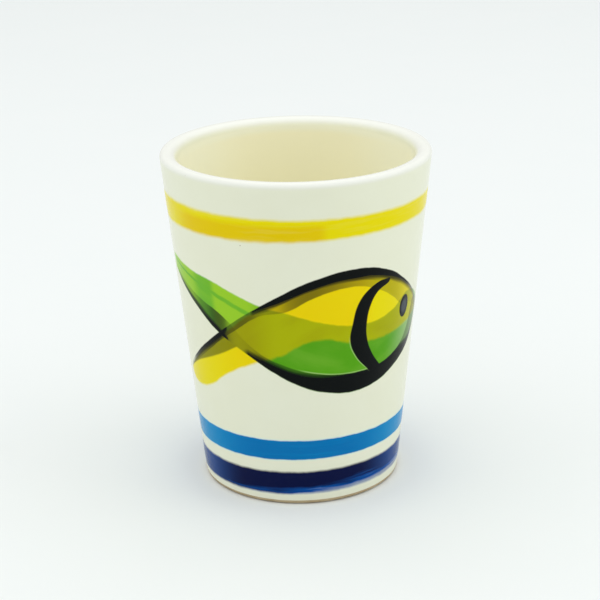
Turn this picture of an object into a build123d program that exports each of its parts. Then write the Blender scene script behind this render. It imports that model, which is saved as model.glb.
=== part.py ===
"""Painted ceramic shot glass.

A small tapered cup of clay, glazed inside and out, standing on a bare foot ring.  Three colour bands and a
brush-painted fish lie on the glaze as thin fired films.  Millimetres, +Z up.  The origin is the centre of the
foot, on the surface that the cup stands on, and the fish is on the side that faces -Y.
"""
import os
from math import cos, sin

from build123d import *

# Cup, measured over the glaze
HEIGHT = 60.0
MOUTH_RADIUS = 23.7
MOUTH_BORE_RADIUS = 20.85
LIP_OUTER_ROUND = 0.8
LIP_INNER_ROUND = 1.7
BASE_RADIUS = 17.55
FLOOR_RADIUS = 15.0
FLOOR_TOP = 5.0
FLOOR_ROUND = 5.0

# Foot ring, left bare so that the cup doesn't stick to the kiln shelf
FOOT_ROUND = 0.8
BARE_FOOT_HEIGHT = 0.75
RECESS_RADIUS = 13.4
RECESS_CEILING_RADIUS = 12.9
RECESS_DEPTH = 1.2
RECESS_ROUND = 0.6

# Fired coats.  The outer coat and the lining meet on the crown of the lip.
GLAZE = 0.25
PAINT = 0.06
LIP_CROWN_RADIUS = 22.6
WALL_MIDDLE_RADIUS = 16.4

# Colour bands, as (lowest, highest) height on the wall
BANDS = {
    "yellow_band": (50.2, 53.7),
    "sky_blue_band": (9.0, 12.6),
    "navy_band": (2.1, 6.5),
}

# Fish, drawn flat as (distance round the wall from the front, height)
BACK_UPPER_EDGE = [(-26, 23.0), (-14.8, 31.9), (-4, 39.8), (9, 44.2), (20, 40.0), (28.4, 33.0)]
BACK_LOWER_EDGE = [(-25.6, 22.2), (-14.5, 29.8), (-3, 38.2), (9, 42.2), (19, 38.9), (27, 32.0)]
BELLY_UPPER_EDGE = [(-25.6, 40.4), (-13, 33.7), (-3, 27.3), (10, 24.9), (20, 26.6), (26.6, 32.6)]
BELLY_LOWER_EDGE = [(-26, 39.3), (-14.8, 32.0), (-3, 24.9), (10, 21.4), (21, 24.1), (28.2, 32.4)]
WASH_MEETING_LINE = [(-12, 30.6), (-3, 29.6), (4, 32.0), (12, 30.4), (20, 30.8), (29, 32.0)]
GREEN_TAIL_EDGE = [(-25.6, 42.8), (-16, 41.3), (-6, 37.4)]
GREEN_TAIL_ROOT = [(-25.8, 39.8), (-12, 32.3)]
YELLOW_TAIL_EDGE = [(-25.6, 19.9), (-17, 21.9), (-6, 27.6)]
YELLOW_TAIL_ROOT = [(-25.8, 22.6), (-12, 31.6)]
GILL_OUTER_EDGE = [(15.6, 41.2), (10.2, 37.4), (9.3, 30.2), (13.2, 25.1)]
GILL_INNER_EDGE = [(16.2, 40.4), (12.5, 37.0), (12.2, 30.6), (15.4, 25.2)]
EYE_CENTRE = (21.5, 34.3)
EYE_HALF_WIDTH = 1.4
EYE_HALF_HEIGHT = 2.0
STROKE_GAP = 0.08
FLAT_RADIUS = 20.6
FENCE_REACH = 0.5
FENCE_STEPS = 24

os.makedirs("parts", exist_ok=True)


def keep(node, name):
    """Labels a finished piece and writes it."""
    node.part.label = name
    export_step(node.part, f"parts/{name}.step")


# --- Sections of the cup, both halves -----------------------------------------------------------------------

with BuildSketch() as cup_section:
    with BuildLine():
        Polyline(
            (0, RECESS_DEPTH),
            (RECESS_CEILING_RADIUS, RECESS_DEPTH),
            (RECESS_RADIUS, 0),
            (BASE_RADIUS, 0),
            (MOUTH_RADIUS, HEIGHT),
            (MOUTH_BORE_RADIUS, HEIGHT),
            (FLOOR_RADIUS, FLOOR_TOP),
            (0, FLOOR_TOP),
            close=True,
        )
    make_face()
    rounded_corners = [
        ((RECESS_CEILING_RADIUS, RECESS_DEPTH), RECESS_ROUND),
        ((RECESS_RADIUS, 0), RECESS_ROUND),
        ((BASE_RADIUS, 0), FOOT_ROUND),
        ((MOUTH_RADIUS, HEIGHT), LIP_OUTER_ROUND),
        ((MOUTH_BORE_RADIUS, HEIGHT), LIP_INNER_ROUND),
        ((FLOOR_RADIUS, FLOOR_TOP), FLOOR_ROUND),
    ]
    for corner, radius in rounded_corners:
        fillet(cup_section.vertices().sort_by_distance(corner)[0], radius)
    mirror(about=Plane.YZ)

with BuildSketch() as foot_section:
    add(cup_section.sketch)
    Rectangle(3 * MOUTH_RADIUS, 2 * BARE_FOOT_HEIGHT, mode=Mode.INTERSECT)

with BuildSketch() as clay_section:
    add(cup_section.sketch)
    offset(amount=-GLAZE)
    add(foot_section.sketch)


# --- Clay body and its glaze coats --------------------------------------------------------------------------

with BuildPart() as clay_body:
    with BuildSketch(Plane.XZ):
        add(clay_section.sketch)
        Rectangle(MOUTH_RADIUS, HEIGHT, align=Align.MIN, mode=Mode.INTERSECT)
    revolve(axis=Axis.Z)
keep(clay_body, "clay_body")

# Each coat is what lies between the clay and the finished surface, inside its own window on the section
middle_of_floor = (RECESS_DEPTH + FLOOR_TOP) / 2
coat_windows = {
    "outer_glaze": [
        (WALL_MIDDLE_RADIUS, 0),
        (MOUTH_RADIUS, 0),
        (MOUTH_RADIUS, HEIGHT),
        (LIP_CROWN_RADIUS, HEIGHT),
    ],
    "lining_glaze": [
        (0, middle_of_floor),
        (WALL_MIDDLE_RADIUS, middle_of_floor),
        (LIP_CROWN_RADIUS, HEIGHT),
        (0, HEIGHT),
    ],
    "recess_glaze": [
        (0, 0),
        (WALL_MIDDLE_RADIUS, 0),
        (WALL_MIDDLE_RADIUS, middle_of_floor),
        (0, middle_of_floor),
    ],
}
for name, window in coat_windows.items():
    with BuildPart() as coat:
        with BuildSketch(Plane.XZ):
            Polygon(*window, align=None)
            add(cup_section.sketch, mode=Mode.INTERSECT)
            add(clay_section.sketch, mode=Mode.SUBTRACT)
        revolve(axis=Axis.Z)
    keep(coat, name)


# --- Colour bands -------------------------------------------------------------------------------------------


def wall_radius(height):
    """Outside radius of the glazed wall at a height."""
    return BASE_RADIUS + (MOUTH_RADIUS - BASE_RADIUS) * height / HEIGHT


def film_section(low, high, underneath):
    """Outline of a paint film on the wall between two heights, over paint that is already underneath."""
    inner_low = wall_radius(low) + underneath
    inner_high = wall_radius(high) + underneath
    return [(inner_low, low), (inner_low + PAINT, low), (inner_high + PAINT, high), (inner_high, high)]


for name, (low, high) in BANDS.items():
    with BuildPart() as band:
        with BuildSketch(Plane.XZ):
            Polygon(*film_section(low, high, 0), align=None)
        revolve(axis=Axis.Z)
    keep(band, name)


# --- Fish, first drawn flat ---------------------------------------------------------------------------------


def stroke_between(one_edge, other_edge):
    """A flat brush stroke between its two long edges, square where the brush was set down and lifted."""
    with BuildSketch() as stroke:
        with BuildLine():
            one = Spline(*one_edge)
            other = Spline(*other_edge)
            Line(one @ 0, other @ 0)
            Line(one @ 1, other @ 1)
        make_face()
    return stroke.sketch


belly_line = stroke_between(BELLY_UPPER_EDGE, BELLY_LOWER_EDGE)
whole_back_line = stroke_between(BACK_UPPER_EDGE, BACK_LOWER_EDGE)
green_tail = stroke_between(GREEN_TAIL_EDGE, GREEN_TAIL_ROOT)
yellow_tail = stroke_between(YELLOW_TAIL_EDGE, YELLOW_TAIL_ROOT)
gill_line = stroke_between(GILL_OUTER_EDGE, GILL_INNER_EDGE)

with BuildSketch() as eye:
    with Locations(EYE_CENTRE):
        Ellipse(EYE_HALF_WIDTH, EYE_HALF_HEIGHT)

with BuildSketch() as belly_line_and_gap:
    add(belly_line)
    offset(amount=STROKE_GAP)

# The belly line was painted over the back line, so it parts the back line where they cross
with BuildSketch() as back_line:
    add(whole_back_line)
    add(belly_line_and_gap.sketch, mode=Mode.SUBTRACT)

with BuildSketch() as outlines_and_gap:
    add(whole_back_line)
    add(belly_line)
    offset(amount=STROKE_GAP)

# Cutting the outlines out of a sheet leaves the inside of the body as the smaller piece of the sheet
with BuildSketch() as cut_sheet:
    Rectangle(2 * HEIGHT, 2 * HEIGHT)
    add(outlines_and_gap.sketch, mode=Mode.SUBTRACT)
body_inside = cut_sheet.faces().sort_by(SortBy.AREA)[0]

with BuildSketch() as below_meeting_line:
    with BuildLine():
        meeting_line = Spline(*WASH_MEETING_LINE)
        lower_corners = [(WASH_MEETING_LINE[0][0], 0), (WASH_MEETING_LINE[-1][0], 0)]
        Polyline(meeting_line @ 0, *lower_corners, meeting_line @ 1)
    make_face()

with BuildSketch() as green_wash:
    add(body_inside)
    add(below_meeting_line.sketch, mode=Mode.INTERSECT)
    with BuildSketch():
        add(green_tail)
        add(outlines_and_gap.sketch, mode=Mode.SUBTRACT)

with BuildSketch() as below_meeting_line_and_gap:
    add(below_meeting_line.sketch)
    offset(amount=STROKE_GAP)

with BuildSketch() as yellow_wash:
    add(body_inside)
    add(below_meeting_line_and_gap.sketch, mode=Mode.SUBTRACT)
    with BuildSketch():
        add(yellow_tail)
        add(outlines_and_gap.sketch, mode=Mode.SUBTRACT)


# --- Fish, carried to the wall ------------------------------------------------------------------------------


def on_wall(point, out):
    """The place on the wall of a point of the flat drawing, standing out from the glaze."""
    angle = point.X / FLAT_RADIUS
    radius = wall_radius(point.Y) + out
    return Vector(radius * sin(angle), -radius * cos(angle), point.Y)


def fence_round(shape):
    """Ruled faces that stand across the wall along the outline of a flat shape."""
    rails = []
    for edge in shape.outer_wire().edges():
        points = [edge @ (step / FENCE_STEPS) for step in range(FENCE_STEPS + 1)]
        inner_rail = Edge.make_spline([on_wall(point, -FENCE_REACH) for point in points])
        outer_rail = Edge.make_spline([on_wall(point, FENCE_REACH) for point in points])
        rails.append(Face.make_surface_from_curves(inner_rail, outer_rail))
    return Shell(rails)


def film_over(shape, underneath):
    """The paint film over one flat shape, lying on paint that is already underneath."""
    reach = shape.bounding_box()
    section = film_section(reach.min.Y - FENCE_REACH, reach.max.Y + FENCE_REACH, underneath)
    with BuildPart() as ring:
        with BuildSketch(Plane.XZ):
            Polygon(*section, align=None)
        revolve(axis=Axis.Z)
        split(bisect_by=fence_round(shape), keep=Keep.ALL)
    return ring.solids().sort_by(Axis.Y)[0]


# The gill line and the eye were painted last, on top of the washes
fish_films = {
    "fish_belly_line": (belly_line, 0),
    "fish_back_line": (back_line.sketch, 0),
    "fish_green_wash": (green_wash.sketch, 0),
    "fish_yellow_wash": (yellow_wash.sketch, 0),
    "fish_gill_line": (gill_line, PAINT),
    "fish_eye": (eye.sketch, PAINT),
}
for name, (drawing, underneath) in fish_films.items():
    with BuildPart() as film:
        for shape in drawing.faces():
            add(film_over(shape, underneath))
    keep(film, name)
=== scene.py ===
"""A painted ceramic shot glass: its looks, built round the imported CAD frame."""
from math import cos, pi, radians, sin, tan

import bmesh
import bpy
from mathutils import Euler, Matrix, Vector


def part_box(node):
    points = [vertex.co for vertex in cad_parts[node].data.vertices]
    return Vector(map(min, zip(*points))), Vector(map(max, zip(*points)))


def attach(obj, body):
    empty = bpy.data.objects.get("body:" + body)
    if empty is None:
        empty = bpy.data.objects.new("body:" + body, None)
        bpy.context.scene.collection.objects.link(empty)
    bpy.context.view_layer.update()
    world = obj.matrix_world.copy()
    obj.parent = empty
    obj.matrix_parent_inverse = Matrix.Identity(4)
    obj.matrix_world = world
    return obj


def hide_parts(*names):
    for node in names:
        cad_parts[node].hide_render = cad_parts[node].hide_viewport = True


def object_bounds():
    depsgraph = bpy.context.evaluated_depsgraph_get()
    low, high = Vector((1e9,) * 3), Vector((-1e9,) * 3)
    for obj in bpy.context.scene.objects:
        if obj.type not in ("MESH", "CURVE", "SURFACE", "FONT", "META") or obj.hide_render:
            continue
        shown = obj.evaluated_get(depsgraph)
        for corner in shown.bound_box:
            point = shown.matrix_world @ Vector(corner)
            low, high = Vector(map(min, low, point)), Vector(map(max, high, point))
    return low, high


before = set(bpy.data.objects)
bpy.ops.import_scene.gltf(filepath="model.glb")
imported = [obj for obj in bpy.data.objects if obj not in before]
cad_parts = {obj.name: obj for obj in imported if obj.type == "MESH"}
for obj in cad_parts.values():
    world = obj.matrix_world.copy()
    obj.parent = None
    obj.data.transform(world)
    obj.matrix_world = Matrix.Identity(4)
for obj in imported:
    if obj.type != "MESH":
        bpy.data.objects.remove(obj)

cad_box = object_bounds()
MM = 0.001


# === Clay body ==============================================================================================
# The cup is cast in pale buff earthenware.  Only its foot ring shows, wiped clean of glaze before firing, so
# the CAD piece itself stays and takes a dry, slightly gritty clay finish.

CLAY_BUFF = (206, 190, 158)
CLAY_BROWN = (150, 128, 88)


def fired(colour):
    """A colour given as 0 to 255 levels, as the linear colour that a shader takes."""
    linear = []
    for level in colour:
        share = level / 255
        linear.append(share / 12.92 if share <= 0.04045 else ((share + 0.055) / 1.055) ** 2.4)
    return (*linear, 1.0)


def wire(tree, socket, value):
    """Gives a socket a value, or a link if the value is another node's output."""
    if isinstance(value, bpy.types.NodeSocket):
        tree.links.new(value, socket)
    else:
        socket.default_value = value


def put(tree, kind, sockets=None, **settings):
    """Adds a node with its settings made and its sockets wired."""
    node = tree.nodes.new("ShaderNode" + kind)
    for name, value in settings.items():
        setattr(node, name, value)
    for name, value in (sockets or {}).items():
        wire(tree, node.inputs[name], value)
    return node


def calc(tree, operation, first, second=0.0, third=0.0):
    """One sum on two or three numbers."""
    node = put(tree, "Math", operation=operation)
    for socket, value in zip(node.inputs, (first, second, third)):
        wire(tree, socket, value)
    return node.outputs[0]


def tint(tree, share, under, over):
    """The colour under, covered by the colour over as far as share says."""
    node = put(tree, "Mix", data_type="RGBA")
    wire(tree, node.inputs[0], share)
    wire(tree, node.inputs[6], under)
    wire(tree, node.inputs[7], over)
    return node.outputs[2]


def cloud(tree, place, scale, detail=2.0):
    """Soft noise from 0 to 1 over the surface."""
    return put(tree, "TexNoise", {"Vector": place, "Scale": scale, "Detail": detail}).outputs["Fac"]


def new_material(name):
    """A new material, as (material, its node tree, its shader)."""
    material = bpy.data.materials.new(name)
    material.use_nodes = True
    tree = material.node_tree
    tree.nodes.clear()
    shader = put(tree, "BsdfPrincipled")
    wire(tree, put(tree, "OutputMaterial").inputs["Surface"], shader.outputs[0])
    return material, tree, shader


def finish_with(piece, material):
    """Gives a piece one material all over."""
    piece.data.materials.clear()
    piece.data.materials.append(material)


bare_clay, tree, shader = new_material("bare_clay")
place = put(tree, "TexCoord").outputs["Object"]
grit = cloud(tree, place, 2600.0, 3.0)
stain = cloud(tree, place, 300.0, 4.0)
wire(tree, shader.inputs["Base Color"], tint(tree, stain, fired(CLAY_BROWN), fired(CLAY_BUFF)))
wire(tree, shader.inputs["Roughness"], calc(tree, "MULTIPLY_ADD", grit, 0.2, 0.7))
wire(tree, shader.inputs["Normal"], put(tree, "Bump", {"Height": grit, "Distance": 0.05 * MM}).outputs[0])
finish_with(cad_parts["clay_body"], bare_clay)


# === White glaze ============================================================================================
# One warm white glaze goes on in three coats: poured inside, dipped outside, and dabbed into the recess under
# the foot.  Each coat follows the slight unevenness of the hand-finished clay, and a few iron specks burn
# through it.

GLAZE_WHITE = (234, 237, 217)
GLAZE_CREAM = (230, 232, 208)
# The lining is painted brighter and creamier than the outer glaze: partly glaze pooled inside, partly painted
# bounce light
LINING_THIN_AND_LIT = (246, 246, 222)
POOLED_AND_BOUNCE_CREAM = (248, 244, 210)
# A painted highlight along the lip, not a colour of the glaze itself
LIP_PAINTED_HIGHLIGHT = (236, 238, 230)
IRON_SPECK = (150, 138, 110)
GLAZE = 0.25 * MM
FILM = 0.06 * MM
UNEVENNESS = 0.04 * MM
FLAT_RADIUS = 20.6 * MM
SEGMENTS = 192
ARC_STEPS = 10
WALL_STEPS = 48
FLAT_STEPS = 6
LIP_OUTER_ROUND = 0.8 * MM
LIP_INNER_ROUND = 1.7 * MM
LIP_LAP = 0.15 * MM
LIP_STEP = 0.015 * MM
BORE_RADIUS = 20.85 * MM
FLOOR_RADIUS = 15.0 * MM
FLOOR_ROUND = 5.0 * MM
RECESS_CEILING_RADIUS = 12.9 * MM
RECESS_ROUND = 0.6 * MM
GLAZE_IOR = 1.5
GLAZE_SPECULAR = 0.08
SKIN_RELIEF = 0.02 * MM
SHARP_ANGLE = 60
# How the glaze wanders, as (share, waves round the cup, start, twist with height)
WAVES = [(0.6, 2, 0.7, 0), (0.25, 3, 0, 90), (0.15, 5, 0, -160)]
# Places inside the node groups are in millimetres, and so are these, apart from the noise scales
LIP_START = 58.7
LIP_END = 59.7
CREAM_DEPTH = 3.0
LESS_CREAM_AT_SIDES = 0.45
CREAM_SIDES = (5.0, 20.0)
UPPER_LINING_SHARE = 0.4
CREAM_CLOUDS = 0.12
SPECK_CELLS = 0.35
SPECK_CLOUDS = 0.7
SPECK_RADIUS = 0.3
SPECK_LEAST = 0.02
GLOSS_CLOUDS = 0.4
GLOSS_ROUGHNESS = 0.1
SKIN_CLOUDS = 0.5

coat_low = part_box("outer_glaze")[0]
lining_low, lining_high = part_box("lining_glaze")
recess_low, recess_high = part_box("recess_glaze")
yellow_low, yellow_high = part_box("yellow_band")
navy_low, navy_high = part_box("navy_band")
height = cad_box[1][2]
crown_radius = lining_high.x
floor_top = lining_low.z + GLAZE
wall_slope = (yellow_high.x - navy_high.x) / (yellow_high.z - navy_high.z)


def wall_radius(level):
    """Outside radius of the glazed wall at a height, on the straight line that both bands stand on."""
    return navy_high.x - FILM + wall_slope * (level - navy_high.z)


def unevenness(angle, level):
    """How far the glaze lies inside its true circle, from 0 to twice UNEVENNESS."""
    slow = sum(share * sin(waves * angle + start + twist * level) for share, waves, start, twist in WAVES)
    return UNEVENNESS * (1 + slow)


def round_corners(corners):
    """A section through (radius, height, rounding) corners, each rounding drawn as an arc."""
    points = [Vector(corners[0][:2])]
    for before, corner, after in zip(corners, corners[1:], corners[2:]):
        here = Vector(corner[:2])
        back = (Vector(before[:2]) - here).normalized()
        ahead = (Vector(after[:2]) - here).normalized()
        half_angle = back.angle(ahead) / 2
        centre = here + (back + ahead).normalized() * corner[2] / sin(half_angle)
        reach = corner[2] / tan(half_angle)
        start = (here + back * reach - centre).normalized()
        end = (here + ahead * reach - centre).normalized()
        for step in range(ARC_STEPS + 1):
            points.append(centre + start.slerp(end, step / ARC_STEPS) * corner[2])
    points.append(Vector(corners[-1][:2]))
    return points


def divide(points, start, steps):
    """Divides the stretch after one point of a section into equal steps."""
    stretch = [points[start].lerp(points[start + 1], step / steps) for step in range(1, steps)]
    return points[:start + 1] + stretch + points[start + 1:]


def under_side(points):
    """The section a glaze's thickness below another, on its left hand."""
    below = []
    for index, point in enumerate(points):
        along = points[min(index + 1, len(points) - 1)] - points[max(index - 1, 0)]
        below.append(point + Vector((-along.y, along.x)).normalized() * GLAZE)
    return below


def new_piece(name, shape, node):
    """Turns a finished bmesh into a smooth piece that stands for a CAD node."""
    bmesh.ops.recalc_face_normals(shape, faces=shape.faces)
    mesh = bpy.data.meshes.new(name)
    shape.to_mesh(mesh)
    shape.free()
    mesh.shade_smooth()
    mesh.set_sharp_from_angle(angle=radians(SHARP_ANGLE))
    piece = bpy.data.objects.new(name, mesh)
    bpy.context.scene.collection.objects.link(piece)
    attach(piece, "root")
    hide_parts(node)
    return piece


def spin_coat(name, surface):
    """A closed coat of glaze: the surface that shows, turned round the axis, and its under side."""
    shape = bmesh.new()
    hidden = list(reversed(under_side(surface)))
    loop = [(point, 1) for point in surface] + [(point, 0) for point in hidden]
    rings = []
    for point, shows in loop:
        if point.x < 0.01 * MM:
            rings.append([shape.verts.new((0, 0, point.y))])
            continue
        ring = []
        for segment in range(SEGMENTS):
            angle = 2 * pi * segment / SEGMENTS
            radius = point.x - shows * unevenness(angle, point.y)
            ring.append(shape.verts.new((radius * sin(angle), -radius * cos(angle), point.y)))
        rings.append(ring)
    for one, other in zip(rings, rings[1:] + rings[:1]):
        if len(one) == len(other) == 1:
            continue
        for segment in range(SEGMENTS):
            following = (segment + 1) % SEGMENTS
            corners = [one[segment % len(one)], one[following % len(one)]]
            corners += [other[following % len(other)], other[segment % len(other)]]
            shape.faces.new(list(dict.fromkeys(corners)))
    return new_piece(name + "_coat", shape, name)


wall_foot = (wall_radius(coat_low.z), coat_low.z)
wall_top = (wall_radius(height), height, LIP_OUTER_ROUND)
outer_surface = round_corners([wall_foot, wall_top, (crown_radius, height)])
outer_coat = spin_coat("outer_glaze", divide(outer_surface, 0, WALL_STEPS))

# The lining was poured first, so it ends under the edge of the outer coat
lining_start = (crown_radius + LIP_LAP, height - LIP_STEP)
bore_top = (BORE_RADIUS, height - LIP_STEP, LIP_INNER_ROUND)
floor_edge = (FLOOR_RADIUS, floor_top, FLOOR_ROUND)
lining_surface = round_corners([lining_start, bore_top, floor_edge, (0, floor_top)])
lining_surface = divide(lining_surface, len(lining_surface) - 2, FLAT_STEPS)
lining_coat = spin_coat("lining_glaze", divide(lining_surface, ARC_STEPS + 1, WALL_STEPS))

ceiling = recess_high.z - GLAZE
recess_edge = (RECESS_CEILING_RADIUS, ceiling, RECESS_ROUND)
recess_surface = round_corners([(0, ceiling), recess_edge, (recess_high.x - GLAZE, recess_low.z)])
recess_coat = spin_coat("recess_glaze", divide(recess_surface, 0, FLAT_STEPS))


def new_group(name, takes, gives):
    """A shader node group with its sockets made, as (tree, its inputs, its outputs)."""
    tree = bpy.data.node_groups.new(name, "ShaderNodeTree")
    for direction, sockets in (("INPUT", takes), ("OUTPUT", gives)):
        for socket_name, kind in sockets.items():
            tree.interface.new_socket(name=socket_name, in_out=direction, socket_type="NodeSocket" + kind)
    return tree, tree.nodes.new("NodeGroupInput").outputs, tree.nodes.new("NodeGroupOutput").inputs


def use_group(tree, group, sockets=None):
    """Places a node group in a tree, with its sockets wired, and gives its outputs."""
    node = put(tree, "Group", node_tree=group)
    for name, value in (sockets or {}).items():
        wire(tree, node.inputs[name], value)
    return node.outputs


def soft_step(tree, value, low, high):
    """0 at low, 1 at high, and a soft step between them."""
    node = put(tree, "MapRange", interpolation_type="SMOOTHSTEP")
    for name, amount in (("Value", value), ("From Min", low), ("From Max", high)):
        wire(tree, node.inputs[name], amount)
    return node.outputs["Result"]


def between(tree, value, rise, fall):
    """1 between two soft steps, one up over the rise and one down over the fall."""
    return calc(tree, "MULTIPLY", soft_step(tree, value, *rise), soft_step(tree, value, *fall))


def height_of(tree, place):
    """Height of a place, in its own unit."""
    return put(tree, "SeparateXYZ", {"Vector": place}).outputs["Z"]


white_glaze, takes, gives = new_group(
    "white_glaze",
    {"Place": "Vector", "PooledAndBounce": "Float"},
    {"Color": "Color"},
)
spot, pooled_and_bounce = takes["Place"], takes["PooledAndBounce"]
cream = tint(white_glaze, cloud(white_glaze, spot, CREAM_CLOUDS), fired(GLAZE_WHITE), fired(GLAZE_CREAM))
# Inside, the colour goes brighter and creamier towards the bottom, partly from pooled glaze and partly as
# painted bounce light
cream = tint(white_glaze, soft_step(white_glaze, pooled_and_bounce, 0.0, UPPER_LINING_SHARE), cream, fired(LINING_THIN_AND_LIT))
cream = tint(white_glaze, soft_step(white_glaze, pooled_and_bounce, UPPER_LINING_SHARE, 1.0), cream, fired(POOLED_AND_BOUNCE_CREAM))
# Painted highlight: near the lip the glaze is painted whiter, standing in for the light caught on the crown
lip_highlight_share = soft_step(white_glaze, height_of(white_glaze, spot), LIP_START, LIP_END)
cream = tint(white_glaze, lip_highlight_share, cream, fired(LIP_PAINTED_HIGHLIGHT))
# One speck can sit in each cell of a scattered grid, unless its size there falls to nothing
cells = put(white_glaze, "TexVoronoi", {"Vector": spot, "Scale": SPECK_CELLS})
size_cloud = cloud(white_glaze, spot, SPECK_CLOUDS)
speck_size = calc(white_glaze, "MULTIPLY_ADD", size_cloud, SPECK_RADIUS, -SPECK_RADIUS / 2)
speck_core = calc(white_glaze, "MULTIPLY", speck_size, 0.5)
speck = soft_step(white_glaze, cells.outputs["Distance"], speck_size, speck_core)
speck = calc(white_glaze, "MULTIPLY", speck, calc(white_glaze, "GREATER_THAN", speck_size, SPECK_LEAST))
wire(white_glaze, gives["Color"], tint(white_glaze, speck, cream, fired(IRON_SPECK)))

# What the glaze's surface does to the light, whatever colour lies in it
glaze_skin, takes, gives = new_group(
    "glaze_skin",
    {"Place": "Vector"},
    {"Roughness": "Float", "Height": "Float"},
)
gloss = cloud(glaze_skin, takes["Place"], GLOSS_CLOUDS)
roughness = calc(glaze_skin, "MULTIPLY_ADD", gloss, GLOSS_ROUGHNESS, GLOSS_ROUGHNESS)
wire(glaze_skin, gives["Roughness"], roughness)
wire(glaze_skin, gives["Height"], cloud(glaze_skin, takes["Place"], SKIN_CLOUDS, 1.0))

# Everything that is brushed on the outside, one stroke over another, starting from the bare white coat
painting, takes, painted = new_group("painting", {"Place": "Vector"}, {"Color": "Color"})
spot = takes["Place"]
spot_parts = put(painting, "SeparateXYZ", {"Vector": spot})
toward_front = calc(painting, "MULTIPLY", spot_parts.outputs["Y"], -1.0)
spot_angle = calc(painting, "ARCTAN2", spot_parts.outputs["X"], toward_front)
spot_along = calc(painting, "MULTIPLY", spot_angle, FLAT_RADIUS / MM)
wire(painting, painted["Color"], use_group(painting, white_glaze, {"Place": spot})["Color"])


def lay_on(stroke):
    """Lays a stroke over everything that is painted so far."""
    so_far = painted["Color"].links[0].from_socket
    sockets = {"Under": so_far, "Place": spot, "Along": spot_along}
    wire(painting, painted["Color"], use_group(painting, stroke, sockets)["Over"])


def glazed_material(name, colours, creamier_inside=False):
    """Gloss glaze over a group's colours.  A poured one runs down and pools, thicker and creamier, and inside
    it is also painted brighter and creamier as painted bounce light.
    """
    material, tree, shader = new_material(name)
    place = put(tree, "VectorMath", {"Scale": 1 / MM}, operation="SCALE")
    wire(tree, place.inputs[0], put(tree, "TexCoord").outputs["Object"])
    skin = use_group(tree, glaze_skin, {"Place": place.outputs[0]})
    sockets = {"Place": place.outputs[0]}
    if creamier_inside:
        parts = put(tree, "SeparateXYZ", {"Vector": place.outputs[0]}).outputs
        # Painted bounce light as well as pooling: the share grows deeper into the cup
        pooled_and_bounce = soft_step(tree, parts["Z"], LIP_END, LIP_END - CREAM_DEPTH)
        # Less of the cream is painted towards the left and right sides
        sideways = soft_step(tree, calc(tree, "ABSOLUTE", parts["X"]), *CREAM_SIDES)
        less_at_sides = calc(tree, "MULTIPLY_ADD", sideways, -LESS_CREAM_AT_SIDES, 1.0)
        sockets["PooledAndBounce"] = calc(tree, "MULTIPLY", pooled_and_bounce, less_at_sides)
    wire(tree, shader.inputs["Base Color"], use_group(tree, colours, sockets)["Color"])
    wire(tree, shader.inputs["Roughness"], skin["Roughness"])
    bump = put(tree, "Bump", {"Height": skin["Height"], "Strength": 1.0, "Distance": SKIN_RELIEF})
    wire(tree, shader.inputs["Normal"], bump.outputs[0])
    shader.inputs["IOR"].default_value = GLAZE_IOR
    shader.inputs["Specular IOR Level"].default_value = GLAZE_SPECULAR
    return material


painted_glaze = glazed_material("painted_glaze", painting)
finish_with(lining_coat, glazed_material("poured_glaze", white_glaze, creamier_inside=True))
finish_with(recess_coat, glazed_material("dabbed_glaze", white_glaze))
finish_with(outer_coat, painted_glaze)


# === Colour bands ===========================================================================================
# Each band is one brush of ceramic colour held against the cup while it turns on a banding wheel.  The colour
# sinks into the glaze as a thin film, with a slightly wandering edge and streaks along the turn.

BAND_RISE = 0.03 * MM
BAND_WANDER = 0.12 * MM
BAND_RIPPLE = 0.05 * MM
FILM_DEPTH = 0.04 * MM
FILM_SINK = 0.006 * MM
ACROSS_STEPS = 10
YELLOW = (232, 218, 0)
YELLOW_TWICE = (228, 199, 0)
SKY_BLUE = (0, 112, 178)
SKY_BLUE_THIN = (0, 140, 198)
SKY_HALO = (170, 222, 232)
NAVY = (0, 12, 60)
NAVY_THIN = (0, 78, 160)
# In millimetres, or as shares, inside the node groups
TREMOR_CLOUDS = 0.5
HAIR_STRETCH = 0.09
YELLOW_DROP = 0.35
TWICE_BEGINS = (-24.0, -18.0)
TWICE_ENDS = (5.0, 3.0)
TWICE_ACROSS = (0.84, 0.56)
SKY_RISE = 0.1
SKY_THIN_SIDES = (8.0, 24.0)
SKY_THIN_STREAKS = (0.4, 0.8)
SKY_STREAK_SHARE = 0.4
NAVY_RISE = 0.05
NAVY_STREAKS = 0.9
NAVY_WETTER_UP = -1.1
NAVY_DRIER_RIGHT = 0.28
NAVY_THIN_DRYNESS = (0.0, 0.45)
NAVY_GAP_DRYNESS = (0.35, 0.6)
NAVY_GAP_SHARE = 0.35
NAVY_THIN_SIDES = (12.0, 24.0)
NAVY_SIDE_SHARE = 0.6


def wall_point(along, level, out):
    """A place on the uneven wall: a distance round it from the front, a height, and how far it stands out."""
    angle = along / FLAT_RADIUS
    radius = wall_radius(level) + out - unevenness(angle, level)
    return Vector((radius * sin(angle), -radius * cos(angle), level))


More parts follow.
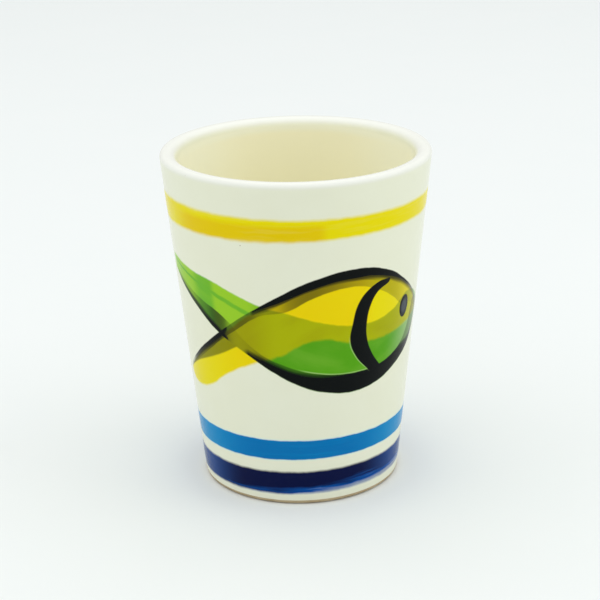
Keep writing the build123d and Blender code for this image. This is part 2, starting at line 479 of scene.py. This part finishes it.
def paint_film(node, sections, rise, joined=False):
    """A thin domed film of colour on the wall.  Each section is its two edges as (along, height) places."""
    shape = bmesh.new()
    rings = []
    for one_edge, other_edge in sections:
        ring = []
        for step in range(ACROSS_STEPS + 1):
            across = step / ACROSS_STEPS
            spot = Vector(one_edge).lerp(Vector(other_edge), across)
            dome = 1 - (2 * across - 1) ** 4
            ring.append(shape.verts.new(wall_point(spot.x, spot.y, rise * dome - FILM_SINK)))
        for step in range(ACROSS_STEPS, -1, -1):
            spot = Vector(one_edge).lerp(Vector(other_edge), step / ACROSS_STEPS)
            ring.append(shape.verts.new(wall_point(spot.x, spot.y, -FILM_DEPTH)))
        rings.append(ring)
    followers = rings[1:] + rings[:1] if joined else rings[1:]
    for one, other in zip(rings, followers):
        for index in range(len(one)):
            after = (index + 1) % len(one)
            shape.faces.new((one[index], one[after], other[after], other[index]))
    if not joined:
        shape.faces.new(rings[0])
        shape.faces.new(reversed(rings[-1]))
    return new_piece(node + "_film", shape, node)


def band_film(node):
    """The film of one band, its two edges wandering a little round the cup."""
    low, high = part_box(node)
    sections = []
    for segment in range(SEGMENTS):
        angle = 2 * pi * segment / SEGMENTS
        wander = BAND_WANDER * sin(angle + 0.5) + BAND_RIPPLE * sin(4 * angle)
        along = angle * FLAT_RADIUS
        sections.append(((along, low.z + wander), (along, high.z + 0.7 * wander)))
    return paint_film(node, sections, BAND_RISE, joined=True)


# How a brush leaves its colour between two edges: where it covers, how far across it is, and its streaks
brush, takes, gives = new_group(
    "brush_stroke",
    {"Place": "Vector", "Lower": "Float", "Upper": "Float", "Softness": "Float", "Wobble": "Float",
     "Bristles": "Float"},
    {"Coverage": "Float", "Across": "Float", "Streaks": "Float"},
)
parts = put(brush, "SeparateXYZ", {"Vector": takes["Place"]}).outputs
tremor = calc(brush, "SUBTRACT", cloud(brush, takes["Place"], TREMOR_CLOUDS, 3.0), 0.5)
level = calc(brush, "ADD", parts["Z"], calc(brush, "MULTIPLY", tremor, takes["Wobble"]))
inside = []
for edge in ("Lower", "Upper"):
    start = calc(brush, "SUBTRACT", takes[edge], takes["Softness"])
    end = calc(brush, "ADD", takes[edge], takes["Softness"])
    inside.append(soft_step(brush, level, start, end))
wire(brush, gives["Coverage"], calc(brush, "MULTIPLY", inside[0], calc(brush, "SUBTRACT", 1.0, inside[1])))
width = calc(brush, "MAXIMUM", calc(brush, "SUBTRACT", takes["Upper"], takes["Lower"]), 0.1)
across = calc(brush, "DIVIDE", calc(brush, "SUBTRACT", level, takes["Lower"]), width)
wire(brush, gives["Across"], across)
hairs = put(brush, "CombineXYZ", {"Z": calc(brush, "MULTIPLY", across, takes["Bristles"])})
wire(brush, hairs.inputs["X"], calc(brush, "MULTIPLY", parts["X"], HAIR_STRETCH))
wire(brush, hairs.inputs["Y"], calc(brush, "MULTIPLY", parts["Y"], HAIR_STRETCH))
wire(brush, gives["Streaks"], cloud(brush, hairs.outputs[0], 1.0, 4.0))

STROKE_TAKES = {"Under": "Color", "Place": "Vector", "Along": "Float"}


def new_stroke(name):
    """The group of one stroke, which takes the colour under it and gives the colour over it."""
    return new_group(name, STROKE_TAKES, {"Over": "Color"})


def brushed(tree, takes, lower, upper, softness, wobble, bristles):
    """What the brush leaves between two edges of a stroke."""
    return use_group(tree, brush, {
        "Place": takes["Place"],
        "Lower": lower,
        "Upper": upper,
        "Softness": softness,
        "Wobble": wobble,
        "Bristles": bristles,
    })


def drifting(tree, along, level, drift):
    """A level, such as the height of a band's edge, that drifts from left to right across the front."""
    turn = calc(tree, "DIVIDE", along, FLAT_RADIUS / MM)
    return calc(tree, "MULTIPLY_ADD", calc(tree, "SINE", turn), drift, level)


yellow_paint, takes, gives = new_stroke("yellow_band_paint")
along = takes["Along"]
lower = drifting(yellow_paint, along, yellow_low.z / MM - YELLOW_DROP, 0.4)
upper = drifting(yellow_paint, along, yellow_high.z / MM, -0.25)
laid = brushed(yellow_paint, takes, lower, upper, 0.45, 0.4, 5.0)
share = calc(yellow_paint, "MULTIPLY_ADD", laid["Streaks"], 0.25, 0.88)
share = calc(yellow_paint, "MINIMUM", calc(yellow_paint, "MULTIPLY", laid["Coverage"], share), 1.0)
# The brush ran over its own start here, so the colour lies twice
twice = calc(yellow_paint, "MULTIPLY", between(yellow_paint, along, TWICE_BEGINS, TWICE_ENDS),
             soft_step(yellow_paint, laid["Across"], *TWICE_ACROSS))
colour = tint(yellow_paint, twice, fired(YELLOW), fired(YELLOW_TWICE))
wire(yellow_paint, gives["Over"], tint(yellow_paint, share, takes["Under"], colour))
lay_on(yellow_paint)

sky_low, sky_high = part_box("sky_blue_band")
sky_paint, takes, gives = new_stroke("sky_blue_band_paint")
along = takes["Along"]
lower = drifting(sky_paint, along, sky_low.z / MM, 0.3)
upper = drifting(sky_paint, along, sky_high.z / MM + SKY_RISE, 0.1)
halo = brushed(sky_paint, takes, lower, upper, 0.45, 0.3, 6.0)
laid = brushed(sky_paint, takes, lower, upper, 0.12, 0.3, 6.0)
pale = tint(sky_paint, halo["Coverage"], takes["Under"], fired(SKY_HALO))
# It is thinner round both sides, where the brush pressed less
thin = soft_step(sky_paint, calc(sky_paint, "ABSOLUTE", along), *SKY_THIN_SIDES)
thin_streaks = soft_step(sky_paint, laid["Streaks"], *SKY_THIN_STREAKS)
thin = calc(sky_paint, "MAXIMUM", thin, calc(sky_paint, "MULTIPLY", thin_streaks, SKY_STREAK_SHARE))
colour = tint(sky_paint, thin, fired(SKY_BLUE), fired(SKY_BLUE_THIN))
wire(sky_paint, gives["Over"], tint(sky_paint, laid["Coverage"], pale, colour))
lay_on(sky_paint)

navy_paint, takes, gives = new_stroke("navy_band_paint")
along = takes["Along"]
lower = drifting(navy_paint, along, navy_low.z / MM, 0.25)
upper = drifting(navy_paint, along, navy_high.z / MM + NAVY_RISE, 0.3)
laid = brushed(navy_paint, takes, lower, upper, 0.32, 0.35, 7.0)
# The brush was running dry along the lower edge, and more so towards the right
wetter = calc(navy_paint, "MULTIPLY", laid["Across"], NAVY_WETTER_UP)
dryness = calc(navy_paint, "MULTIPLY_ADD", laid["Streaks"], NAVY_STREAKS, wetter)
dryness = drifting(navy_paint, along, dryness, NAVY_DRIER_RIGHT)
thin = soft_step(navy_paint, dryness, *NAVY_THIN_DRYNESS)
at_sides = soft_step(navy_paint, calc(navy_paint, "ABSOLUTE", along), *NAVY_THIN_SIDES)
thin = calc(navy_paint, "MAXIMUM", thin, calc(navy_paint, "MULTIPLY", at_sides, NAVY_SIDE_SHARE))
gaps = soft_step(navy_paint, dryness, *NAVY_GAP_DRYNESS)
colour = tint(navy_paint, thin, fired(NAVY), fired(NAVY_THIN))
unbroken = calc(navy_paint, "MULTIPLY_ADD", gaps, -NAVY_GAP_SHARE, 1.0)
share = calc(navy_paint, "MULTIPLY", laid["Coverage"], unbroken)
wire(navy_paint, gives["Over"], tint(navy_paint, share, takes["Under"], colour))
lay_on(navy_paint)

band_slots = {"yellow_band": "yellow_paint", "sky_blue_band": "sky_blue_paint", "navy_band": "navy_paint"}
for node, slot in band_slots.items():
    finish_with(band_film(node), painted_glaze)


# === Fish washes ============================================================================================
# Two broad strokes of a flat brush make the body.  A yellow one sweeps up from the lower tail along the back,
# and a green one down from the upper tail along the belly.  Where they cross they fire to olive.

WASH_RISE = 0.016 * MM
FISH_STEPS = 120
FISH_TAIL = -27.0
FISH_NOSE = 28.2
YELLOW_DEEP = (236, 208, 0)
YELLOW_DRAGGED = (140, 138, 0)
OLIVE = (171, 178, 0)
OLIVE_WARM = (156, 154, 0)
BELLY_GREEN = (84, 160, 18)
BELLY_GREEN_LIGHT = (106, 172, 40)
TAIL_GREEN = (152, 203, 44)
TAIL_GREEN_TWICE = (92, 174, 44)
CHART_WIDTH = 64.0
CHART_HEIGHT = 60.0
WASH_INSET = 0.5

# Where the strokes begin and end round the wall, in millimetres from the front, each as a soft step
YELLOW_TAIL = (-27.0, -25.8)
GREEN_TAIL = (-28.4, -26.8)
WASH_NOSE = (28.4, 27.2)
DEEP_BEGINS = (-20.0, -6.0)
DEEP_ENDS = (14.0, 10.0)
DRAG_ENDS = (-8.5, -10.5)
POOL_BEGINS = (-21.0, -18.0)
POOL_ENDS = (-14.5, -16.0)
GREEN_IN_TAIL = (-4.0, -9.0)
WARM_IN_TAIL = (-3.0, -9.0)
GREEN_THINS = (16.0, 26.0)
GREEN_LOST = 0.28
# The same across a stroke, or along its streaks, as shares
STREAK_BEGINS = (0.7, 0.75)
STREAK_ENDS = (0.83, 0.79)
LIGHT_STREAKS = (0.35, 0.8)
WARM_STREAKS = (0.45, 0.75)

# Edges of the strokes, as (distance round the wall from the front, height) in millimetres
BACK_EDGE = [(-27, 22.0), (-20, 27.8), (-14.8, 31.9), (-9, 36.3), (-4, 39.6), (2, 42.8), (9, 44.2),
             (15, 43.0), (21, 39.3), (25.5, 35.5), (28.5, 32.0)]
BELLY_EDGE = [(-27, 40.2), (-20, 35.6), (-14.8, 31.9), (-10, 29.3), (-5, 26.1), (0, 23.4), (5, 21.8),
              (10, 21.3), (15, 22.0), (20, 23.9), (24, 25.9), (26, 27.7), (28.5, 31.6)]
YELLOW_LOWER_EDGE = [(-27, 21.8), (-25.5, 20.2), (-22, 19.9), (-18, 21.3), (-14, 24.2), (-8, 27.3),
                     (-3, 29.2), (2, 31.8), (4.5, 31.9), (7, 31.2), (12, 30.3), (20, 30.6), (28, 32.0)]
DRAGGED_EDGE = [(-27, 21.6), (-22, 24.6), (-18, 26.3), (-14, 28.3), (-11, 30.1), (-8, 32.0), (28, 40.0)]
OLIVE_UPPER_EDGE = [(-27, 22.0), (-14, 31.6), (-12, 33.4), (-10, 35.0), (-8, 36.5), (-6, 37.8), (-3, 39.8),
                    (2, 42.8), (9, 44.2), (15, 43.0), (21, 39.3), (28.5, 32.0)]
GREEN_UPPER_EDGE = [(-27, 43.1), (-20, 42.0), (-15, 41.2), (-10, 39.5), (-6, 38.0), (-2, 37.0), (5, 34.7),
                    (10, 33.8), (14, 33.8), (18, 34.8), (22, 36.8), (28, 34.0)]


def chart_place(along, level):
    """A place of the drawing as a point of a curve node's unit square."""
    return along / CHART_WIDTH + 0.5, level / CHART_HEIGHT


def edge_curve(tree, along, edge):
    """A stroke's edge drawn in a curve node, as (its node, its height at this place)."""
    node = put(tree, "FloatCurve")
    wire(tree, node.inputs["Value"], calc(tree, "MULTIPLY_ADD", along, 1 / CHART_WIDTH, 0.5))
    points = node.mapping.curves[0].points
    points[0].location = chart_place(*edge[0])
    points[1].location = chart_place(*edge[-1])
    for place in edge[1:-1]:
        points.new(*chart_place(*place))
    node.mapping.extend = "HORIZONTAL"
    node.mapping.update()
    return node, calc(tree, "MULTIPLY", node.outputs["Value"], CHART_HEIGHT)


def edge_height(node, along):
    """Height of an edge at a distance round the wall, read from its curve node."""
    node.mapping.initialize()
    return node.mapping.evaluate(node.mapping.curves[0], chart_place(along, 0)[0]) * CHART_HEIGHT


def stroke_sections(lower_node, upper_node):
    """Sections of a film between two edges, from the tail to the nose."""
    sections = []
    for step in range(FISH_STEPS + 1):
        along = FISH_TAIL + (FISH_NOSE - FISH_TAIL) * step / FISH_STEPS
        low = edge_height(lower_node, along)
        high = max(edge_height(upper_node, along), low + 0.05)
        sections.append(((along * MM, low * MM), (along * MM, high * MM)))
    return sections


yellow_wash, takes, gives = new_stroke("fish_yellow_wash")
along = takes["Along"]
lower_node, lower = edge_curve(yellow_wash, along, YELLOW_LOWER_EDGE)
upper_node, upper = edge_curve(yellow_wash, along, BACK_EDGE)
laid = brushed(yellow_wash, takes, lower, calc(yellow_wash, "SUBTRACT", upper, WASH_INSET), 0.35, 0.5, 3.0)
share = calc(yellow_wash, "MULTIPLY", laid["Coverage"], between(yellow_wash, along, YELLOW_TAIL, WASH_NOSE))
# The colour lies deepest in the first half of the body
deep = calc(yellow_wash, "MULTIPLY", between(yellow_wash, along, DEEP_BEGINS, DEEP_ENDS),
            calc(yellow_wash, "MULTIPLY_ADD", laid["Streaks"], 0.6, 0.5))
colour = tint(yellow_wash, deep, fired(YELLOW), fired(YELLOW_DEEP))
# Along the top of the tail the brush dragged some of the dark colour into it
above = calc(yellow_wash, "SUBTRACT", height_of(yellow_wash, takes["Place"]),
             edge_curve(yellow_wash, along, DRAGGED_EDGE)[1])
above = calc(yellow_wash, "MULTIPLY_ADD", calc(yellow_wash, "SUBTRACT", laid["Streaks"], 0.5), 0.6, above)
dragged = calc(yellow_wash, "MULTIPLY", soft_step(yellow_wash, above, -0.15, 0.25),
               soft_step(yellow_wash, along, *DRAG_ENDS))
colour = tint(yellow_wash, dragged, colour, fired(YELLOW_DRAGGED))
wire(yellow_wash, gives["Over"], tint(yellow_wash, share, takes["Under"], colour))
lay_on(yellow_wash)
yellow_sections = stroke_sections(lower_node, upper_node)
finish_with(paint_film("fish_yellow_wash", yellow_sections, WASH_RISE), painted_glaze)

green_wash, takes, gives = new_stroke("fish_green_wash")
along = takes["Along"]
lower_node, lower = edge_curve(green_wash, along, BELLY_EDGE)
upper_node, upper = edge_curve(green_wash, along, GREEN_UPPER_EDGE)
laid = brushed(green_wash, takes, lower, upper, 0.22, 0.4, 3.5)
yellow_lower = edge_curve(green_wash, along, YELLOW_LOWER_EDGE)[1]
olive_upper = edge_curve(green_wash, along, OLIVE_UPPER_EDGE)[1]
on_yellow = brushed(green_wash, takes, yellow_lower, olive_upper, 0.4, 0.8, 3.0)
# In the tail it is thin, with a pool where the brush was set down and one streak through the middle
pool = between(green_wash, along, POOL_BEGINS, POOL_ENDS)
streak = between(green_wash, laid["Across"], STREAK_BEGINS, STREAK_ENDS)
uneven = calc(green_wash, "MULTIPLY_ADD", laid["Streaks"], 0.8, 0.3)
twice = calc(green_wash, "MULTIPLY", calc(green_wash, "MAXIMUM", pool, streak), uneven)
tail_green = tint(green_wash, twice, fired(TAIL_GREEN), fired(TAIL_GREEN_TWICE))
light = soft_step(green_wash, laid["Streaks"], *LIGHT_STREAKS)
body_green = tint(green_wash, light, fired(BELLY_GREEN), fired(BELLY_GREEN_LIGHT))
green = tint(green_wash, soft_step(green_wash, along, *GREEN_IN_TAIL), body_green, tail_green)
# Over the yellow it turns olive, warmer in some streaks and towards the tail
tail_warmth = calc(green_wash, "MULTIPLY", soft_step(green_wash, along, *WARM_IN_TAIL),
                   calc(green_wash, "MULTIPLY_ADD", on_yellow["Streaks"], 0.5, 0.6))
streak_warmth = calc(green_wash, "MULTIPLY", soft_step(green_wash, on_yellow["Streaks"], *WARM_STREAKS), 0.5)
warm = calc(green_wash, "MAXIMUM", tail_warmth, streak_warmth)
olive = tint(green_wash, warm, fired(OLIVE), fired(OLIVE_WARM))
colour = tint(green_wash, on_yellow["Coverage"], green, olive)
# It thins out towards the nose
share = calc(green_wash, "MULTIPLY_ADD", soft_step(green_wash, along, *GREEN_THINS), -GREEN_LOST, 1.0)
share = calc(green_wash, "MULTIPLY", share, laid["Coverage"])
share = calc(green_wash, "MULTIPLY", share, between(green_wash, along, GREEN_TAIL, WASH_NOSE))
wire(green_wash, gives["Over"], tint(green_wash, share, takes["Under"], colour))
lay_on(green_wash)
green_sections = stroke_sections(lower_node, upper_node)
finish_with(paint_film("fish_green_wash", green_sections, 1.5 * WASH_RISE), painted_glaze)


# === Fish outlines ==========================================================================================
# A thin brush, loaded black on one side and rinsed on the other, draws the back and the belly in two crossing
# sweeps.  Each line is solid along its outer side and fades to a smoky wash along its inner side.

LINE_RISE = 0.032 * MM
BLACK = (4, 9, 9)
HAIRLINE_GREEN = (176, 212, 130)
DARK_SMOKE = 0.93
LOADED_WIDTH = 0.3
DARK_REACH = 1.4
LINE_WAVER = 0.9
LINE_TAIL = (-27.0, -25.0)
LINE_NOSE = (29.0, 27.0)
HAIRLINE_WIDTH = 0.28
HAIRLINE_SHARE = 0.6
HAIRLINE_BEGINS = (-1.0, 2.0)
HAIRLINE_ENDS = (13.6, 12.0)
BACK_INNER_EDGE = [(-27, 21.6), (-20, 26.2), (-14, 30.9), (-12, 32.4), (-10, 33.9), (-8, 35.4), (-6, 36.5),
                   (-4, 36.9), (-2, 37.3), (2, 39.5), (6, 40.8), (10, 40.9), (14, 39.4), (18, 36.9),
                   (20, 35.2), (23, 34.6), (28.5, 31.0)]
BELLY_INNER_EDGE = [(-27, 41.2), (-22, 38.7), (-18, 37.1), (-15, 36.0), (-12, 34.0), (-10, 31.8), (-7, 29.4),
                    (-3, 27.4), (3, 25.6), (10, 24.9), (16, 25.4), (20, 26.7), (22, 28.0), (23.4, 29.8),
                    (24.4, 32.4), (25.4, 34.6), (28.5, 33.0)]
# How far in from the outer side the colour is solid, as (distance round the wall, width) in millimetres
BACK_BLACK = [(-27, 0.0), (-24, 0.15), (-20, 0.6), (-16, 1.0), (-14, 0.9), (-12.4, 0.0), (-9.5, 0.0),
              (-7, 0.4), (-5, 0.8), (0, 1.4), (8, 1.6), (15, 1.3), (18, 0.9), (20.5, 0.4), (24, 0.2),
              (28, 0.2)]
BELLY_BLACK = [(-27, 0.1), (-22, 0.4), (-18, 0.8), (-14, 1.0), (-12.4, 0.0), (-10.5, 0.0), (-8.5, 0.4),
               (-6.5, 1.0), (-2, 1.7), (3, 2.6), (10, 3.6), (16, 3.3), (20, 2.5), (22, 2.0), (25, 1.0),
               (28, 0.5)]
# How much of the colour under it the rinsed side hides, as (distance round the wall, share)
BACK_SMOKE = [(-27, 0.3), (-22, 0.3), (-17, 0.2), (-15, 0.4), (-12, 0.62), (-8, 0.6), (-6, 0.35), (-4, 0.38),
              (-1, 0.68), (5, 0.7), (9, 0.55), (13, 0.4), (18, 0.38), (21, 0.2), (24, 0.12), (28, 0.3)]
BELLY_SMOKE = [(-27, 0.35), (-20, 0.35), (-18, 0.48), (-13.5, 0.76), (-12, 0.25), (-9, 0.2), (-6, 0.5),
               (8, 0.5), (16, 0.5), (22, 0.5), (28, 0.4)]


def smoky_line(name, lower_edge, upper_edge, black_side, black_width, smoke_share):
    """Lays a line that is black along one side and smoky across the rest, and gives its edge nodes."""
    tree, takes, gives = new_stroke(name)
    along = takes["Along"]
    lower_node, lower = edge_curve(tree, along, lower_edge)
    upper_node, upper = edge_curve(tree, along, upper_edge)
    solid_width = edge_curve(tree, along, black_width)[1]
    laid = brushed(tree, takes, lower, upper, 0.12, 0.25, 4.0)
    level = height_of(tree, takes["Place"])
    if black_side == "upper":
        inward = calc(tree, "SUBTRACT", upper, level)
    else:
        inward = calc(tree, "SUBTRACT", level, lower)
    waver = calc(tree, "SUBTRACT", laid["Streaks"], 0.5)
    inward = calc(tree, "MULTIPLY_ADD", waver, LINE_WAVER, inward)
    # Solid black first, then a gradient, then smoke of one strength, as far as the line has black at all
    loaded = soft_step(tree, solid_width, 0.0, LOADED_WIDTH)
    solid_end = calc(tree, "ADD", solid_width, 0.3)
    solid = soft_step(tree, inward, solid_end, calc(tree, "SUBTRACT", solid_width, 0.1))
    solid = calc(tree, "MULTIPLY", solid, loaded)
    dark_end = calc(tree, "ADD", solid_width, DARK_REACH)
    dark = soft_step(tree, inward, dark_end, calc(tree, "ADD", solid_width, 0.1))
    dark = calc(tree, "MULTIPLY", dark, calc(tree, "MULTIPLY", loaded, DARK_SMOKE))
    smoke = calc(tree, "MAXIMUM", edge_curve(tree, along, smoke_share)[1], dark)
    share = calc(tree, "MAXIMUM", solid, smoke)
    share = calc(tree, "MULTIPLY", share, between(tree, along, LINE_TAIL, LINE_NOSE))
    share = calc(tree, "MULTIPLY", share, laid["Coverage"])
    wire(tree, gives["Over"], tint(tree, share, takes["Under"], fired(BLACK)))
    lay_on(tree)
    return lower_node, upper_node


def pale_hairline(tree, under, beyond_edge, where):
    """The pale hairline that a wet line leaves where it pushes the wash aside, this far beyond its edge."""
    line = between(tree, beyond_edge, (-0.1, 0.05), (HAIRLINE_WIDTH, 0.5 * HAIRLINE_WIDTH))
    share = calc(tree, "MULTIPLY", line, calc(tree, "MULTIPLY", where, HAIRLINE_SHARE))
    return tint(tree, share, under, fired(HAIRLINE_GREEN))


back_nodes = smoky_line("fish_back_line", BACK_INNER_EDGE, BACK_EDGE, "upper", BACK_BLACK, BACK_SMOKE)
back_film = paint_film("fish_back_line", stroke_sections(*back_nodes), LINE_RISE)
finish_with(back_film, painted_glaze)

belly_hairline, takes, gives = new_stroke("belly_hairline")
edge = edge_curve(belly_hairline, takes["Along"], BELLY_INNER_EDGE)[1]
where = between(belly_hairline, takes["Along"], HAIRLINE_BEGINS, HAIRLINE_ENDS)
above = calc(belly_hairline, "SUBTRACT", height_of(belly_hairline, takes["Place"]), edge)
wire(belly_hairline, gives["Over"], pale_hairline(belly_hairline, takes["Under"], above, where))
lay_on(belly_hairline)

belly_nodes = smoky_line("fish_belly_line", BELLY_EDGE, BELLY_INNER_EDGE, "lower", BELLY_BLACK, BELLY_SMOKE)
belly_film = paint_film("fish_belly_line", stroke_sections(*belly_nodes), 1.2 * LINE_RISE)
finish_with(belly_film, painted_glaze)


# === Gill line and eye ======================================================================================
# Last, one curved stroke of undiluted black marks the gill, and a single dab of the same brush makes the eye.
# Both lie thickest of all the colours.

DAB_RISE = 0.045 * MM
GILL_TOP = 41.2
GILL_FOOT = 24.2
GILL_STEPS = 60
GILL_MIDDLE = 32.5
# Sides of the stroke, as (height from its middle, distance round the wall)
GILL_LEFT = [(-8.5, 13.6), (-7.5, 12.6), (-4.5, 10.0), (-1.5, 8.8), (1.5, 9.1), (5.5, 10.2), (7.5, 12.0),
             (8.6, 14.4), (8.8, 15.4)]
GILL_RIGHT = [(-8.5, 16.4), (-7.1, 15.2), (-4.5, 13.3), (-1.5, 12.1), (1.5, 11.9), (4.5, 12.5), (6.5, 13.7),
              (7.3, 15.0), (7.8, 16.2), (8.4, 16.4), (8.8, 15.9)]
GILL_SOFTNESS = 0.12
GILL_END_SOFTNESS = 0.25
EYE_ALONG = 21.35
EYE_LEVEL = 34.3
EYE_HALF_WIDTH = 1.45
EYE_HALF_HEIGHT = 2.05
EYE_GREY = (66, 72, 80)
EYE_STEPS = 24
EYE_GREY_RING = (0.85, 0.4)
EYE_RIM = (1.08, 0.94)

gill_paint, takes, gives = new_stroke("fish_gill_line")
along = takes["Along"]
level = height_of(gill_paint, takes["Place"])
from_middle = calc(gill_paint, "SUBTRACT", level, GILL_MIDDLE)
left_node, left = edge_curve(gill_paint, from_middle, GILL_LEFT)
right_node, right = edge_curve(gill_paint, from_middle, GILL_RIGHT)
past_left = calc(gill_paint, "SUBTRACT", along, left)
past_right = calc(gill_paint, "SUBTRACT", along, right)
across = calc(gill_paint, "MULTIPLY", soft_step(gill_paint, past_left, -GILL_SOFTNESS, GILL_SOFTNESS),
              soft_step(gill_paint, past_right, GILL_SOFTNESS, -GILL_SOFTNESS))
foot_end = (GILL_FOOT, GILL_FOOT + GILL_END_SOFTNESS)
top_end = (GILL_TOP, GILL_TOP - GILL_END_SOFTNESS)
share = calc(gill_paint, "MULTIPLY", across, between(gill_paint, level, foot_end, top_end))
# The wet line pushed the wash aside along the lower half of its left side
where = between(gill_paint, level, (GILL_FOOT, GILL_FOOT + 2.0), (GILL_MIDDLE, GILL_MIDDLE - 3.0))
beside = calc(gill_paint, "SUBTRACT", left, along)
under = pale_hairline(gill_paint, takes["Under"], beside, where)
wire(gill_paint, gives["Over"], tint(gill_paint, share, under, fired(BLACK)))
lay_on(gill_paint)
gill_sections = []
for step in range(GILL_STEPS + 1):
    level = GILL_FOOT + (GILL_TOP - GILL_FOOT) * step / GILL_STEPS
    right_side = edge_height(right_node, level - GILL_MIDDLE)
    left_side = edge_height(left_node, level - GILL_MIDDLE)
    gill_sections.append(((right_side * MM, level * MM), (left_side * MM, level * MM)))
finish_with(paint_film("fish_gill_line", gill_sections, DAB_RISE), painted_glaze)

eye_paint, takes, gives = new_stroke("fish_eye")
sideways = calc(eye_paint, "SUBTRACT", takes["Along"], EYE_ALONG)
sideways = calc(eye_paint, "DIVIDE", sideways, EYE_HALF_WIDTH)
upward = calc(eye_paint, "SUBTRACT", height_of(eye_paint, takes["Place"]), EYE_LEVEL)
upward = calc(eye_paint, "DIVIDE", upward, EYE_HALF_HEIGHT)
squares = calc(eye_paint, "ADD", calc(eye_paint, "MULTIPLY", sideways, sideways),
               calc(eye_paint, "MULTIPLY", upward, upward))
from_centre = calc(eye_paint, "SQRT", squares)
colour = tint(eye_paint, soft_step(eye_paint, from_centre, *EYE_GREY_RING), fired(BLACK), fired(EYE_GREY))
share = soft_step(eye_paint, from_centre, *EYE_RIM)
wire(eye_paint, gives["Over"], tint(eye_paint, share, takes["Under"], colour))
lay_on(eye_paint)
eye_sections = []
for step in range(EYE_STEPS + 1):
    turn = pi * (step + 0.5) / (EYE_STEPS + 1)
    along = (EYE_ALONG - EYE_HALF_WIDTH * cos(turn)) * MM
    reach = EYE_HALF_HEIGHT * sin(turn)
    eye_sections.append(((along, (EYE_LEVEL - reach) * MM), (along, (EYE_LEVEL + reach) * MM)))
finish_with(paint_film("fish_eye", eye_sections, DAB_RISE), painted_glaze)


# === Studio =================================================================================================
# A pale table under one broad soft light from above, with even light from all round.

FLOOR_TONE = (233, 237, 236)
FLOOR_CLOUD = (231, 236, 235)
FLOOR_HALF = 3.0
CAMERA_PLACE = (0.0, -0.28592, 0.135)
CAMERA_PITCH = 70.15
CAMERA_YAW = -0.05
CAMERA_ROLL = -1.14
CAMERA_LENS = 102.0
CAMERA_SENSOR = 36.0
WORLD_STRENGTH = 0.6
LIGHT_AIM = (0, 0, 0.03)
FLOOR_CLOUDS = 30.0

pale_table, tree, shader = new_material("pale_table")
place = put(tree, "TexCoord").outputs["Object"]
tone = tint(tree, cloud(tree, place, FLOOR_CLOUDS), fired(FLOOR_TONE), fired(FLOOR_CLOUD))
wire(tree, shader.inputs["Base Color"], tone)
shader.inputs["Roughness"].default_value = 0.8
shader.inputs["Specular IOR Level"].default_value = 0.2
shape = bmesh.new()
floor_corners = ((-1, -1), (1, -1), (1, 1), (-1, 1))
shape.faces.new([shape.verts.new((FLOOR_HALF * x, FLOOR_HALF * y, 0)) for x, y in floor_corners])
table_mesh = bpy.data.meshes.new("table")
shape.to_mesh(table_mesh)
shape.free()
table = bpy.data.objects.new("table", table_mesh)
bpy.context.scene.collection.objects.link(table)
finish_with(table, pale_table)

world = bpy.data.worlds.new("studio")
world.use_nodes = True
background = world.node_tree.nodes["Background"]
background.inputs["Color"].default_value = (1.0, 1.0, 1.0, 1.0)
background.inputs["Strength"].default_value = WORLD_STRENGTH
bpy.context.scene.world = world


def soft_light(name, place, size, power):
    """A square soft light that faces the cup."""
    lamp = bpy.data.lights.new(name, "AREA")
    lamp.shape = "SQUARE"
    lamp.size = size
    lamp.energy = power
    light = bpy.data.objects.new(name, lamp)
    light.location = place
    light.rotation_euler = (Vector(LIGHT_AIM) - Vector(place)).to_track_quat("-Z", "Y").to_euler()
    bpy.context.scene.collection.objects.link(light)


soft_light("overhead", (0.0, -0.1, 1.2), 2.6, 16.8)
soft_light("right_side", (0.7, -0.1, 0.35), 0.5, 0.9)
soft_light("left_side", (-0.7, -0.1, 0.35), 0.5, 0.6)

camera_data = bpy.data.cameras.new("camera")
camera_data.lens = CAMERA_LENS
camera_data.sensor_width = CAMERA_SENSOR
camera = bpy.data.objects.new("camera", camera_data)
aimed = Euler((radians(CAMERA_PITCH), 0.0, radians(CAMERA_YAW))).to_matrix()
rolled = Matrix.Rotation(radians(CAMERA_ROLL), 3, "Z")
camera.matrix_world = Matrix.Translation(CAMERA_PLACE) @ (aimed @ rolled).to_4x4()
bpy.context.scene.collection.objects.link(camera)
bpy.context.scene.camera = camera
bpy.context.scene.view_settings.view_transform = "Standard"
